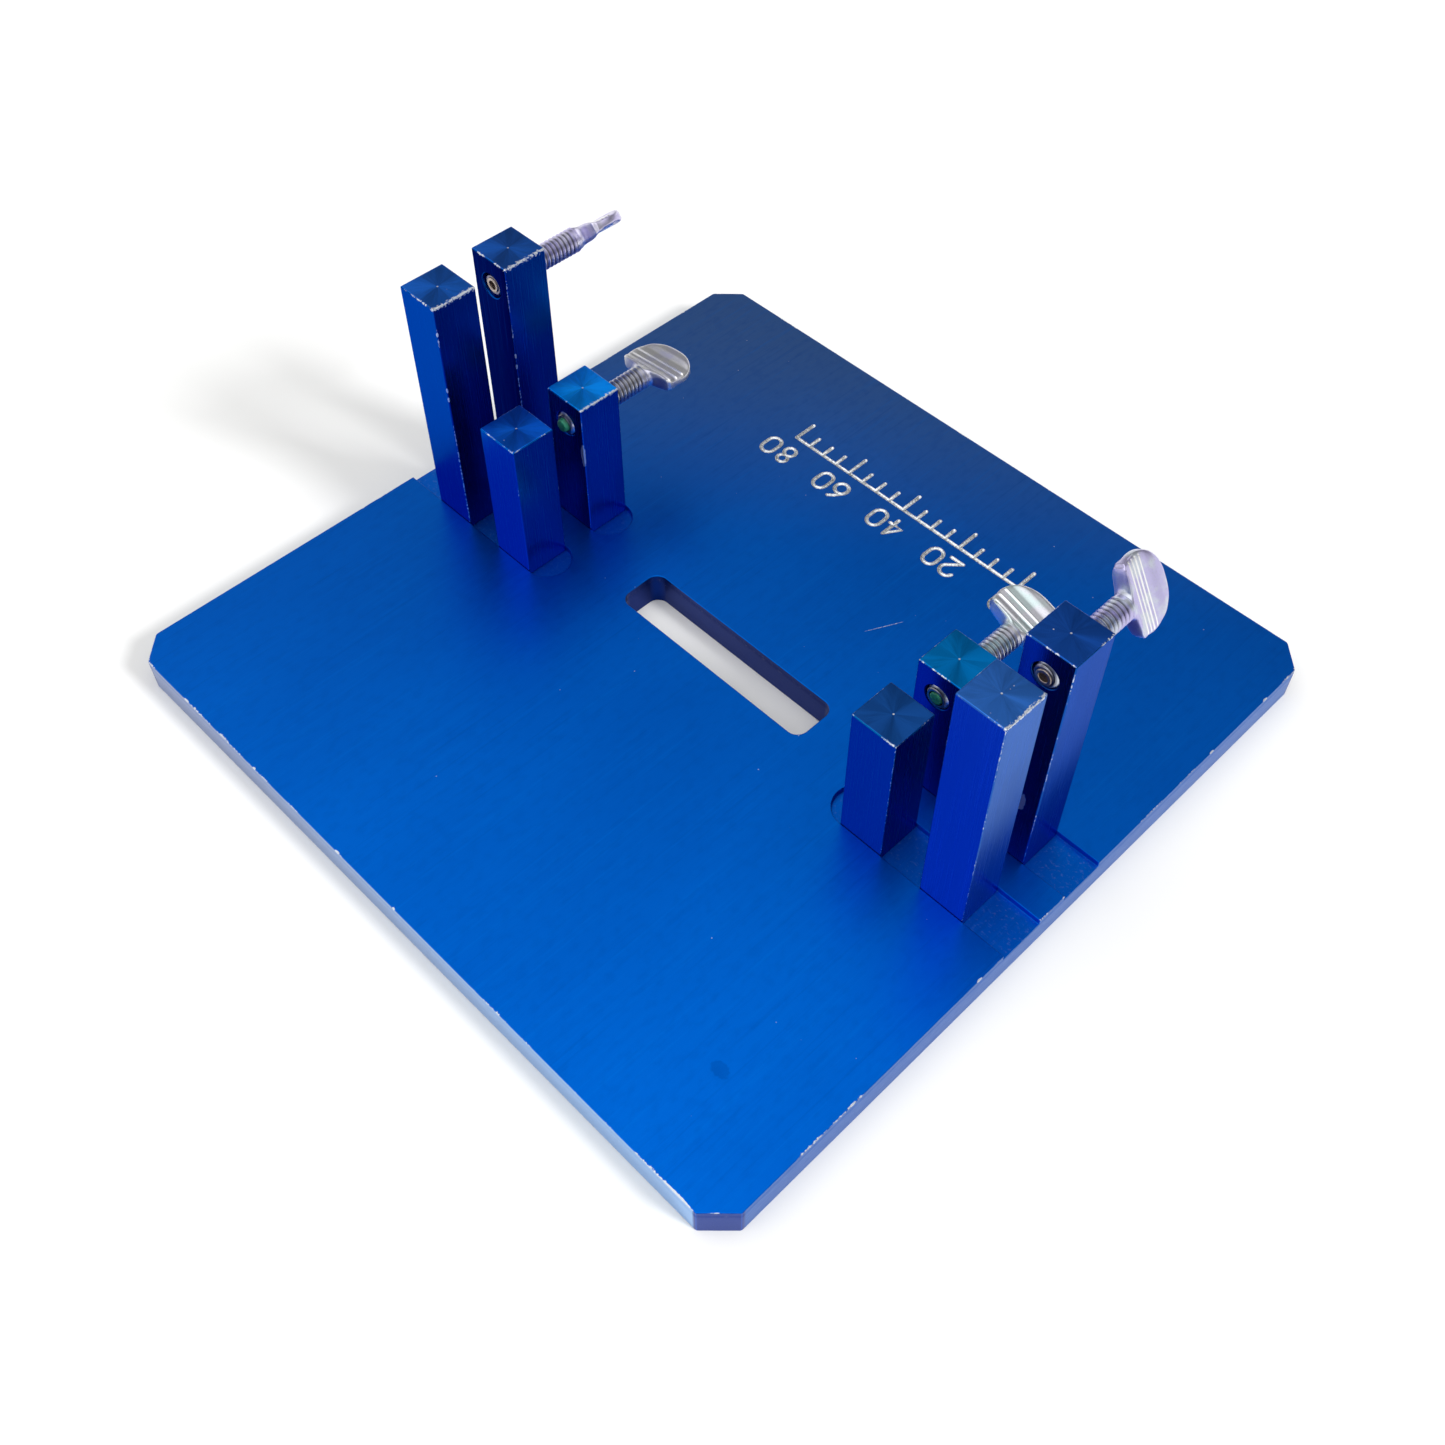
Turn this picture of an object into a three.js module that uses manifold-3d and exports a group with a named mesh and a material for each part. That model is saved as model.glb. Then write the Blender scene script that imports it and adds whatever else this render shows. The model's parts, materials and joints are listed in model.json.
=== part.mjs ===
// A bench vise for circuit boards and other thin work: a square anodised plate with two
// parallel rows of square posts at each side. The front row is plain and makes the fixed
// jaws. A spade-headed thumb screw runs through each post of the back row and pushes the
// work against the post in front of it. +X runs along the rows, the back row is on the +Y
// side, +Z is up, and the origin is the centre of the plate's underside.
import * as THREE from "three";
import { mergeVertices } from "three/addons/utils/BufferGeometryUtils.js";
import Module from "manifold-3d";

const wasm = await Module();
wasm.setup();

// Driving dimensions, in millimetres.
const PLATE_LENGTH = 209.55; // along X
const PLATE_WIDTH = 209.55; // along Y
const PLATE_THICKNESS = 9.525;
const CORNER_CLIP = 6.5; // leg of the 45 degree cut at each corner of the plate
const EDGE_BREAK = 0.35; // bevel on the sharp edges of the plate and the posts

const SLOT_LENGTH = 63.5; // central through slot
const SLOT_WIDTH = 13.1;
const SLOT_CORNER_RADIUS = 3.175;

const POST_SIDE = 12.7; // square bar
const TALL_POST_RISE = 70.6; // top of an outer post above the plate's top face
const SHORT_POST_RISE = 41.5; // top of an inner post above the plate's top face
const OUTER_POST_INSET = 12.1; // from the plate's end to the outer post's outer face
const POST_SPACING = 11.7; // clear space between the tall and the short post of a row
const JAW_GAP = 8.9; // clear space between the front and the back row
const GROOVE_DEPTH = 1.6; // locating grooves that the posts stand in

const THREAD_DIAMETER = 6.35; // major diameter of the thumb screws
const SCREW_DROP = 7.94; // screw axis below the top of its post
const SHANK_LENGTH = 26.7; // from the screw's end to the root of its head
const END_CHAMFER = 0.45;
const HEAD_LENGTH = 13.2; // from the end of the shank to the far rim of the spade
const HEAD_WIDTH = 19.05;
const WEB_THICKNESS = 2.4; // thinnest part of the spade
const RIM_THICKNESS = 3.4; // bead along the spade's far rim
const RIB_HEIGHT = 0.3;
const RIB_WIDTH = 0.7;

const TIP_DIAMETER = 3.9; // pad or sleeve pressed into the screw's end
const TIP_SEAT_DEPTH = 3.2;
const SLEEVE_BORE = 2.4;

const BOLT_DIAMETER = 4.83; // countersunk screw that holds a post from below
const BOLT_HEAD_DIAMETER = 9.8;
const BOLT_ENGAGEMENT = 8; // length of the bolt inside the post
const BOLT_RECESS = 0.3; // bolt head below the plate's underside
const COUNTERSINK_ANGLE = 82; // included angle, degrees
const HEX_ACROSS_FLATS = 3.18;
const HEX_DEPTH = 1.7;

const FIT_GAP = 0.3; // clearance between pieces that seat in or pass through each other
const ROUND_SEGMENTS = 28;

// The four thumb screws. advance is how far the screw's end stands out of the post towards
// the fixed jaw, roll turns the spade about the screw's axis, and reach is how far the tip
// piece stands out of the screw's end.
const INNER_RIBS = { first: 2.3, pitch: 2.1, count: 3 };
const OUTER_RIBS = { first: 3.4, pitch: 1.1, count: 4 };
const THUMB_SCREWS = {
  left_outer: { advance: -0.6, roll: 42, reach: 0.3, tip: "sleeve", ribs: OUTER_RIBS },
  left_inner: { advance: 0.5, roll: 6, reach: 1.2, tip: "pad", ribs: INNER_RIBS },
  right_inner: { advance: 0.3, roll: -19, reach: 0.4, tip: "pad", ribs: INNER_RIBS },
  right_outer: { advance: 0.3, roll: -59, reach: 0.3, tip: "sleeve", ribs: OUTER_RIBS },
};

// Places worked out from the driving dimensions.
const rowOffset = (JAW_GAP + POST_SIDE) / 2;
const outerPostX = PLATE_LENGTH / 2 - OUTER_POST_INSET - POST_SIDE / 2;
const innerPostX = outerPostX - POST_SIDE - POST_SPACING;
const grooveFloor = PLATE_THICKNESS - GROOVE_DEPTH;
const postFoot = grooveFloor + FIT_GAP;
const threadRadius = THREAD_DIAMETER / 2;
const tipRadius = TIP_DIAMETER / 2;
const boltRadius = BOLT_DIAMETER / 2;
const boltHeadRadius = BOLT_HEAD_DIAMETER / 2;
const boltHeadSlope = Math.tan(THREE.MathUtils.degToRad(COUNTERSINK_ANGLE / 2));
const POST_PLACES = [
  { place: "left_outer", x: -outerPostX, rise: TALL_POST_RISE },
  { place: "left_inner", x: -innerPostX, rise: SHORT_POST_RISE },
  { place: "right_inner", x: innerPostX, rise: SHORT_POST_RISE },
  { place: "right_outer", x: outerPostX, rise: TALL_POST_RISE },
];
const ROWS = [
  { row: "front", y: -rowOffset },
  { row: "back", y: rowOffset },
];

const materials = {
  plate: { color: 0x0a55b4, roughness: 0.38, metalness: 0.85 },
  post: { color: 0x0a2f95, roughness: 0.32, metalness: 0.85 },
  thumb_screw: { color: 0xc9ccd6, roughness: 0.3, metalness: 1 },
  tip_sleeve: { color: 0xb9b6ae, roughness: 0.35, metalness: 1 },
  tip_pad: { color: 0x1f7d63, roughness: 0.6, metalness: 0 },
  post_bolt: { color: 0x2a2a2e, roughness: 0.5, metalness: 0.9 },
};

// A closed three.js geometry as a solid for joining and cutting.
function solid(geometry) {
  const loose = geometry.index ? geometry.toNonIndexed() : geometry;
  const bare = new THREE.BufferGeometry();
  bare.setAttribute("position", loose.getAttribute("position"));
  const merged = mergeVertices(bare, 1e-4);
  return new wasm.Manifold(
    new wasm.Mesh({
      numProp: 3,
      vertProperties: merged.getAttribute("position").array,
      triVerts: new Uint32Array(merged.index.array),
    }),
  );
}

// A solid as flat-shaded three.js geometry.
function geometryOf(body) {
  const { vertProperties, triVerts } = body.getMesh();
  const indexed = new THREE.BufferGeometry();
  indexed.setAttribute("position", new THREE.BufferAttribute(vertProperties, 3));
  indexed.setIndex(new THREE.BufferAttribute(triVerts, 1));
  const flat = indexed.toNonIndexed();
  flat.computeVertexNormals();
  return flat;
}

function named(name, geometry, look) {
  const mesh = new THREE.Mesh(geometry, new THREE.MeshStandardMaterial(materials[look]));
  mesh.name = name;
  return mesh;
}

// Extrudes an outline upwards, with its end edges bevelled inside the outline.
function bevelledBar(outline, height, bevel) {
  const bar = new THREE.ExtrudeGeometry(outline, {
    depth: height - 2 * bevel,
    curveSegments: 8,
    bevelThickness: bevel,
    bevelSize: bevel,
    bevelOffset: -bevel,
    bevelSegments: 1,
  });
  return bar.translate(0, 0, bevel);
}

// A rectangle about the origin whose corners are cut at 45 degrees.
function clippedRectangle(length, width, clip) {
  const x = length / 2;
  const y = width / 2;
  const corners = [
    [x, y - clip],
    [x - clip, y],
    [clip - x, y],
    [-x, y - clip],
    [-x, clip - y],
    [clip - x, -y],
    [x - clip, -y],
    [x, clip - y],
  ];
  return new THREE.Shape(corners.map(([cx, cy]) => new THREE.Vector2(cx, cy)));
}

// A rectangle about the origin with round corners, as a hole outline.
function roundedRectangle(length, width, radius) {
  const x = length / 2 - radius;
  const y = width / 2 - radius;
  const quarter = Math.PI / 2;
  const path = new THREE.Path();
  path.absarc(x, y, radius, 0, quarter);
  path.absarc(-x, y, radius, quarter, 2 * quarter);
  path.absarc(-x, -y, radius, 2 * quarter, 3 * quarter);
  path.absarc(x, -y, radius, 3 * quarter, 4 * quarter);
  path.closePath();
  return path;
}

// A round solid about +Z from a profile of [radius, height] points, from bottom to top.
function turned(profile) {
  const points = profile.map(([radius, height]) => new THREE.Vector2(radius, height));
  return new THREE.LatheGeometry(points, ROUND_SEGMENTS).rotateX(Math.PI / 2);
}

// The tool that mills one locating groove, as wide as a post: straight from beyond the plate's
// end to the inner face of the short post, then a full round end.
function grooveCutter(side, y) {
  const radius = POST_SIDE / 2;
  const roundEnd = innerPostX - POST_SIDE / 2;
  const past = PLATE_LENGTH / 2 + radius;
  const outline = new THREE.Shape();
  outline.moveTo(past, radius);
  outline.lineTo(roundEnd, radius);
  outline.absarc(roundEnd, 0, radius, Math.PI / 2, (3 * Math.PI) / 2);
  outline.lineTo(past, -radius);
  outline.closePath();
  const cutter = new THREE.ExtrudeGeometry(outline, {
    depth: GROOVE_DEPTH * 2,
    curveSegments: 24,
    bevelEnabled: false,
  });
  if (side < 0) cutter.rotateZ(Math.PI);
  return solid(cutter.translate(0, y, grooveFloor));
}

// Countersunk clearance hole for a post bolt, from below the underside to above the groove.
function boltHoleCutter(x, y) {
  const wide = boltHeadRadius + FIT_GAP;
  const narrow = boltRadius + FIT_GAP;
  const coneTop = BOLT_RECESS + (wide - narrow) / boltHeadSlope;
  const profile = [
    [0, -1],
    [wide, -1],
    [wide, BOLT_RECESS],
    [narrow, coneTop],
    [narrow, PLATE_THICKNESS + 1],
    [0, PLATE_THICKNESS + 1],
  ];
  return solid(turned(profile).translate(x, y, 0));
}

function basePlate() {
  const outline = clippedRectangle(PLATE_LENGTH, PLATE_WIDTH, CORNER_CLIP);
  outline.holes.push(roundedRectangle(SLOT_LENGTH, SLOT_WIDTH, SLOT_CORNER_RADIUS));
  let plate = solid(bevelledBar(outline, PLATE_THICKNESS, EDGE_BREAK));
  for (const { y } of ROWS) {
    plate = plate.subtract(grooveCutter(-1, y)).subtract(grooveCutter(1, y));
    for (const { x } of POST_PLACES) plate = plate.subtract(boltHoleCutter(x, y));
  }
  return named("base_plate", geometryOf(plate), "plate");
}

// A square post that stands at its foot's centre, drilled from below for its bolt. Its foot is
// eased to drop into the groove, and the full section starts just above the plate. A post of
// the back row also has the cross hole for its thumb screw.
function post(name, rise, threaded) {
  const height = PLATE_THICKNESS + rise - postFoot;
  const shoulder = PLATE_THICKNESS + FIT_GAP - postFoot;
  const square = clippedRectangle(POST_SIDE, POST_SIDE, EDGE_BREAK);
  const eased = POST_SIDE - 2 * FIT_GAP;
  const foot = new THREE.BoxGeometry(eased, eased, shoulder * 2).translate(0, 0, shoulder);
  const section = bevelledBar(square, height - shoulder, EDGE_BREAK).translate(0, 0, shoulder);
  const drill = boltRadius + FIT_GAP;
  const drillDepth = BOLT_ENGAGEMENT + FIT_GAP;
  const boltHole = turned([
    [0, -1],
    [drill, -1],
    [drill, drillDepth],
    [0, drillDepth + drill / 2],
  ]);
  let bar = solid(section).add(solid(foot)).subtract(solid(boltHole));
  if (threaded) {
    const bore = threadRadius + FIT_GAP;
    const crossHole = new THREE.CylinderGeometry(bore, bore, POST_SIDE * 2, ROUND_SEGMENTS);
    bar = bar.subtract(solid(crossHole.translate(0, 0, height - SCREW_DROP)));
  }
  return named(name, geometryOf(bar), "post");
}

// Countersunk bolt with a hex socket, head down, its head's face at the origin.
function postBolt(name) {
  const coneTop = (boltHeadRadius - boltRadius) / boltHeadSlope;
  const length = postFoot + BOLT_ENGAGEMENT - BOLT_RECESS - FIT_GAP;
  const body = turned([
    [0, 0],
    [boltHeadRadius, 0],
    [boltRadius, coneTop],
    [boltRadius, length - END_CHAMFER],
    [boltRadius - END_CHAMFER, length],
    [0, length],
  ]);
  const hexRadius = HEX_ACROSS_FLATS / Math.sqrt(3);
  const socket = new THREE.CylinderGeometry(hexRadius, hexRadius, HEX_DEPTH * 2, 6);
  const bolt = solid(body).subtract(solid(socket.rotateX(Math.PI / 2)));
  return named(name, geometryOf(bolt), "post_bolt");
}

// Face view of the spade, y from the end of the shank to the far rim: square shoulders that
// round into a half ellipse.
function spadeOutline() {
  const half = HEAD_WIDTH / 2;
  const neck = threadRadius * 0.95;
  const shoulder = HEAD_LENGTH * 0.13;
  const widest = HEAD_LENGTH * 0.4;
  const outline = new THREE.Shape();
  outline.moveTo(neck, -1);
  outline.lineTo(neck, 0);
  outline.quadraticCurveTo(half * 0.5, shoulder, half * 0.78, shoulder);
  outline.quadraticCurveTo(half, shoulder * 1.1, half, widest);
  outline.absellipse(0, widest, half, HEAD_LENGTH - widest, 0, Math.PI);
  outline.quadraticCurveTo(-half, shoulder * 1.1, -half * 0.78, shoulder);
  outline.quadraticCurveTo(-half * 0.5, shoulder, -neck, 0);
  outline.lineTo(-neck, -1);
  return outline;
}

// Edge view of the spade: it thins from the shank to the web, carries ribs that run across
// it, and thickens again into the bead along the rim.
function spadeProfile(ribs) {
  const web = WEB_THICKNESS / 2;
  const rim = RIM_THICKNESS / 2;
  const side = [
    [threadRadius * 0.97, -1],
    [threadRadius * 0.9, 0],
    [threadRadius * 0.62, HEAD_LENGTH * 0.07],
    [web * 1.12, ribs.first - RIB_WIDTH],
  ];
  for (let i = 0; i < ribs.count; i += 1) {
    const middle = ribs.first + i * ribs.pitch;
    side.push([web, middle - RIB_WIDTH / 2]);
    side.push([web + RIB_HEIGHT, middle]);
    side.push([web, middle + RIB_WIDTH / 2]);
  }
  side.push([web, HEAD_LENGTH * 0.66]);
  side.push([rim, HEAD_LENGTH * 0.86]);
  side.push([rim, HEAD_LENGTH * 0.94]);
  side.push([rim * 0.6, HEAD_LENGTH]);
  const mirrored = side.map(([z, y]) => [-z, y]).reverse();
  return new THREE.Shape([...side, ...mirrored].map(([z, y]) => new THREE.Vector2(z, y)));
}

// A thumb screw along +Y with its end at the origin, the spade's width along X.
function thumbScrew(name, ribs) {
  const seat = tipRadius + FIT_GAP;
  const shank = turned([
    [0, -SHANK_LENGTH],
    [threadRadius, -SHANK_LENGTH],
    [threadRadius, -END_CHAMFER],
    [threadRadius - END_CHAMFER, 0],
    [seat, 0],
    [seat, -TIP_SEAT_DEPTH],
    [0, -TIP_SEAT_DEPTH],
  ]).rotateX(Math.PI / 2);
  const flat = { bevelEnabled: false, curveSegments: 14 };
  const thick = THREAD_DIAMETER * 2;
  const face = new THREE.ExtrudeGeometry(spadeOutline(), { ...flat, depth: thick });
  const edge = new THREE.ExtrudeGeometry(spadeProfile(ribs), { ...flat, depth: HEAD_WIDTH * 2 });
  face.translate(0, SHANK_LENGTH, -thick / 2);
  edge.translate(0, SHANK_LENGTH, -HEAD_WIDTH).rotateY(Math.PI / 2);
  const screw = solid(shank).add(solid(face).intersect(solid(edge)));
  return named(name, geometryOf(screw), "thumb_screw");
}

// The piece in the screw's end, along +Y: a solid pad, or a sleeve with an open bore.
function tipPiece(name, kind, reach) {
  const seated = TIP_SEAT_DEPTH - FIT_GAP;
  const round = reach / 3;
  const outer = [
    [tipRadius, -seated],
    [tipRadius, reach - round],
    [tipRadius - round, reach],
  ];
  const bore = SLEEVE_BORE / 2;
  const floor = -seated / 2;
  const inner = [
    [bore, reach],
    [bore, floor],
    [0, floor],
  ];
  const profile = [[0, -seated], ...outer, ...(kind === "sleeve" ? inner : [[0, reach]])];
  return named(name, turned(profile).rotateX(Math.PI / 2), `tip_${kind}`);
}

const vise = new THREE.Group();
vise.add(basePlate());

for (const { row, y } of ROWS) {
  for (const { place, x, rise } of POST_PLACES) {
    const upright = post(`${place}_${row}_post`, rise, row === "back");
    upright.position.set(x, y, postFoot);
    const bolt = postBolt(`${place}_${row}_post_bolt`);
    bolt.position.set(x, y, BOLT_RECESS);
    vise.add(upright, bolt);
  }
}

// Each thumb screw and its tip share a group at the screw's end, on the post's front side.
for (const { place, x, rise } of POST_PLACES) {
  const { advance, roll, reach, tip, ribs } = THUMB_SCREWS[place];
  const screw = thumbScrew(`${place}_thumb_screw`, ribs);
  screw.rotation.y = -THREE.MathUtils.degToRad(roll);
  const end = new THREE.Group();
  end.position.set(x, JAW_GAP / 2 - advance, PLATE_THICKNESS + rise - SCREW_DROP);
  end.add(screw, tipPiece(`${place}_tip_${tip}`, tip, reach));
  vise.add(end);
}

export default vise;
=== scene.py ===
"""A bench vise for circuit boards: a blue anodised plate with two rows of square posts, and
spade-headed thumb screws through the back row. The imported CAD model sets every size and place."""
import json
import math
import random

import bmesh
import bpy
from mathutils import Matrix, Vector, noise


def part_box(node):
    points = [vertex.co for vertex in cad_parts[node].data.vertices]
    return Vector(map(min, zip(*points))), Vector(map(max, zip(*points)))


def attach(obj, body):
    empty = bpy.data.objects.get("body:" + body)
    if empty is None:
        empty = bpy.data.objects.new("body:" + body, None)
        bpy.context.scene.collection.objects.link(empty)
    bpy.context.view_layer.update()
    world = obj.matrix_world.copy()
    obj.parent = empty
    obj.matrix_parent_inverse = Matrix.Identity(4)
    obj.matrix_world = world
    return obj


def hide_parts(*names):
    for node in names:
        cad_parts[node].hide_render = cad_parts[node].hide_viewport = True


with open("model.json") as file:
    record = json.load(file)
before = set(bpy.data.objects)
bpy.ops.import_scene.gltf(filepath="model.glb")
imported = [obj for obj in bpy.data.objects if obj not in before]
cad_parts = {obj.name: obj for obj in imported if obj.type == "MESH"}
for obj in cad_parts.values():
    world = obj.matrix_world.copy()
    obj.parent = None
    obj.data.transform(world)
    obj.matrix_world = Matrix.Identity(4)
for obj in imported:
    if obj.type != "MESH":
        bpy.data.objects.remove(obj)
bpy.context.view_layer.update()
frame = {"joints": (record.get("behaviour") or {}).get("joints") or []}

MM = 0.001

# Sizes that the finish adds to the CAD model, in millimetres.
PLATE_EDGE = 0.3  # rounded edge of the plate
PLATE_CLIP = 6.5  # along each side at a corner
CLIP_ROUNDING = 1.2  # at the ends of the plate's corner clips
POST_EDGE = 0.38  # rounded edge of a post
HOLE_CHAMFER = 0.35  # mouth of a threaded hole
THREAD_DIAMETER = 6.35
THREAD_PITCH = 1.27
THREAD_DEPTH = 0.68
HOLE_CLEARANCE = 0.12  # radial, round the thread's crests
SEAT_CLEARANCE = 0.05  # radial, round a tip
FLOOR_DROP = 0.05  # the floor under the plate's underside, so that they don't share a plane
PAD_TAPER = 0.3  # how much narrower a pad is at its face
LEAD_IN = 0.75  # how far the thread's first crest is turned down
SHANK_LENGTH = 26.7
HEAD_LENGTH = 13.2
HEAD_WIDTH = 19
RIB_HEIGHT = 0.3
BOLT_HEX = 3.18
BOLT_HEX_DEPTH = 1.7
COUNTERSINK_ANGLE = 82
BOLT_SHANK = 4.83
BOLT_CLEARANCE = 0.25  # radial, round a bolt in the plate
SLOT_LENGTH = 63.5
SLOT_WIDTH = 13.1
SLOT_CORNER = 3.175
HEAD_OVERLAP = 0.2  # how far the spade's root reaches past the shank's end

# Engraved length scale on the back of the plate, in millimetres.
STROKE_RADIUS = 0.6
STROKE_LIFT = 0.2  # the cutter's centre above the plate
SCALE_START = 38
SCALE_STEP = 5
SCALE_TICKS = 17
SCALE_LABEL_EVERY = 4
SCALE_LINE = 70
SCALE_LONG_TICK = 7
SCALE_SHORT_TICK = 4
DIGIT_HEIGHT = 6.5
DIGIT_LINE = 66

INNER_RIBS = {"first": 2.3, "pitch": 2.1, "count": 3, "half_width": 0.35}
OUTER_RIBS = {"first": 3.4, "pitch": 1.1, "count": 4, "half_width": 0.3}
SCREW_LOOKS = {
    "left_outer": {"roll": 42, "ribs": OUTER_RIBS},
    "left_inner": {"roll": 6, "ribs": INNER_RIBS},
    "right_inner": {"roll": -19, "ribs": INNER_RIBS},
    "right_outer": {"roll": -59, "ribs": OUTER_RIBS},
}

PLACES = ("left_outer", "left_inner", "right_inner", "right_outer")
ROWS = ("front", "back")
TIPS = {
    "left_outer": "sleeve",
    "left_inner": "pad",
    "right_inner": "pad",
    "right_outer": "sleeve",
}
JOINTS = {joint["name"]: joint for joint in frame["joints"]}


# ---- frame sizes

class Box:
    """A CAD node's box in millimetres."""

    def __init__(self, node):
        low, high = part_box(node)
        self.low = low / MM
        self.high = high / MM
        self.size = self.high - self.low
        self.middle = (self.high + self.low) / 2


PLATE = Box("base_plate")
POSTS = {(place, row): Box(f"{place}_{row}_post") for place in PLACES for row in ROWS}
BOLTS = {
    (place, row): Box(f"{place}_{row}_post_bolt") for place in PLACES for row in ROWS
}
TIP_BOXES = {place: Box(f"{place}_tip_{TIPS[place]}") for place in PLACES}
DECK = PLATE.high.z
POST_SIDE = POSTS["left_outer", "front"].size.x
GROOVE_DEPTH = 1.6
SCREW_END = {place: JOINTS[f"{place}_turn"]["pos_m"][1] / MM for place in PLACES}


# ---- mesh helpers

def link(name, mesh, *materials):
    piece = bpy.data.objects.new(name, mesh)
    bpy.context.scene.collection.objects.link(piece)
    for material in materials:
        mesh.materials.append(material)
    return piece


def mesh_from(name, bm):
    bmesh.ops.recalc_face_normals(bm, faces=bm.faces)
    mesh = bpy.data.meshes.new(name)
    bm.to_mesh(mesh)
    bm.free()
    return mesh


def applied(piece):
    """Applies the piece's modifiers to its mesh."""
    graph = bpy.context.evaluated_depsgraph_get()
    mesh = bpy.data.meshes.new_from_object(piece.evaluated_get(graph), depsgraph=graph)
    old = piece.data
    piece.modifiers.clear()
    piece.data = mesh
    bpy.data.meshes.remove(old)
    return piece


def cut(piece, *cutters):
    """Takes the cutters away from the piece, and deletes them."""
    for cutter in cutters:
        boolean = piece.modifiers.new("cut", "BOOLEAN")
        boolean.operation = "DIFFERENCE"
        boolean.solver = "EXACT"
        boolean.material_mode = "TRANSFER"
        boolean.object = cutter
    applied(piece)
    for cutter in cutters:
        mesh = cutter.data
        bpy.data.objects.remove(cutter)
        bpy.data.meshes.remove(mesh)
    return piece


def bevelled(piece, width, segments):
    bevel = piece.modifiers.new("bevel", "BEVEL")
    bevel.width = width * MM
    bevel.segments = segments
    bevel.limit_method = "ANGLE"
    bevel.angle_limit = math.radians(30)
    bevel.use_clamp_overlap = True
    bevel.miter_outer = "MITER_ARC"
    return applied(piece)


def smooth(piece, angle=35):
    """Smooth shading, except across edges that turn by more than the angle."""
    mesh = piece.data
    mesh.polygons.foreach_set("use_smooth", [True] * len(mesh.polygons))
    mesh.set_sharp_from_angle(angle=math.radians(angle))
    return piece


def flatter(piece):
    """Weighted normals, so that broad flat faces stay flat beside their rounded edges."""
    smooth(piece, 60)
    weighted = piece.modifiers.new("normals", "WEIGHTED_NORMAL")
    weighted.keep_sharp = True
    weighted.weight = 90
    return applied(piece)


def arc(centre, radius, start, end, steps):
    """Points on an arc, with angles in degrees."""
    points = []
    for i in range(steps + 1):
        angle = math.radians(start + (end - start) * i / steps)
        points.append((centre[0] + radius * math.cos(angle), centre[1] + radius * math.sin(angle)))
    return points


def prism(name, outline, low, high, *materials):
    """An upright solid with the given outline, in millimetres."""
    bm = bmesh.new()
    face = bm.faces.new([bm.verts.new((x * MM, y * MM, low * MM)) for x, y in outline])
    grown = bmesh.ops.extrude_face_region(bm, geom=[face])
    top = [v for v in grown["geom"] if isinstance(v, bmesh.types.BMVert)]
    bmesh.ops.translate(bm, verts=top, vec=(0, 0, (high - low) * MM))
    return link(name, mesh_from(name, bm), *materials)


def loft(bm, rings, cap_start=True, cap_end=True):
    """Joins rings of points, each with as many points, into a tube, and returns its vertices."""
    made = [[bm.verts.new(point) for point in ring] for ring in rings]
    count = len(rings[0])
    for one, two in zip(made, made[1:]):
        for i in range(count):
            j = (i + 1) % count
            bm.faces.new((one[i], one[j], two[j], two[i]))
    if cap_start:
        bm.faces.new(list(reversed(made[0])))
    if cap_end:
        bm.faces.new(made[-1])
    return made


def circle(steps):
    """Cosine and sine of each step round a circle."""
    angles = [2 * math.pi * i / steps for i in range(steps)]
    return [(math.cos(angle), math.sin(angle)) for angle in angles]


def turned_rings(profile, steps, place):
    """Rings round an axis for a profile of (radius, height) points in millimetres."""
    rings = []
    for radius, height in profile:
        ring = []
        for c, s in circle(steps):
            ring.append(place @ (Vector((radius * c, radius * s, height)) * MM))
        rings.append(ring)
    return rings


def turned(name, profile, place, steps=64, *materials):
    """A closed turned solid: the profile runs from one end's rim to the other end's rim."""
    bm = bmesh.new()
    loft(bm, turned_rings(profile, steps, place))
    return link(name, mesh_from(name, bm), *materials)


def upright(x, y, z):
    """Frame for a turned solid about a vertical axis."""
    return Matrix.Translation(Vector((x, y, z)) * MM)


def backward(x, y, z):
    """Frame for a turned solid about +Y, its height running to the back."""
    return upright(x, y, z) @ Matrix.Rotation(math.radians(-90), 4, "X")


# ---- material helpers

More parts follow.
